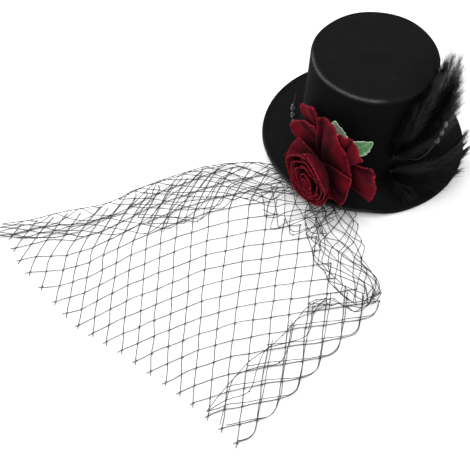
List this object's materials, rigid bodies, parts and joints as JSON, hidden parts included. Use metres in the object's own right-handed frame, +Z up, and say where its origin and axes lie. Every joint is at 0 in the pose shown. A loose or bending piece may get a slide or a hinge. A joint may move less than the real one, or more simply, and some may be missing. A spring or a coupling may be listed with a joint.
{
  "type": "mini top hat fascinator",
  "caption": "Small black felt top hat on a hair clip, trimmed with a red velvet rose and leaves, bead sprays, black feathers and a folded net veil.",
  "frame": {"origin": "on the surface the piece rests on, under the middle of the whole piece's box", "axes": "+Z up along the hat's axis; -Y towards the viewer of the picture; the veil falls away towards about 245 degrees from +X, and the rose faces about 230 degrees"},
  "size_m": [0.265, 0.2934, 0.0842],
  "materials": {
    "felt_black": "dense moulded felt with a short matt nap",
    "net_black": "thin matt thread",
    "velvet_red": "crushed velvet with paler rims",
    "calyx_green": "wrapped floral tape",
    "leaf_green": "printed cloth, slightly stiff",
    "bead_black": "glossy faceted bead",
    "feather_black": "soft barbs with a grey sheen",
    "clip_steel": "plain satin"
  },
  "bodies": {
    "root": {"felt_hat": "felt_black", "net_veil": "net_black", "rose_petal_1": "velvet_red", "rose_petal_2": "velvet_red", "rose_petal_3": "velvet_red", "rose_petal_4": "velvet_red", "rose_petal_5": "velvet_red", "rose_petal_6": "velvet_red", "rose_petal_7": "velvet_red", "rose_bloom_1": "velvet_red", "rose_bloom_2": "velvet_red", "rose_bloom_3": "velvet_red", "rose_bud": "velvet_red", "rose_calyx": "calyx_green", "leaf_1": "leaf_green", "leaf_2": "leaf_green", "leaf_3": "leaf_green", "bead_spray_left": "bead_black", "bead_spray_right": "bead_black", "feathers_upper": "feather_black", "feathers_lower": "feather_black", "hair_clip": "clip_steel"}
  },
  "joints": []
}
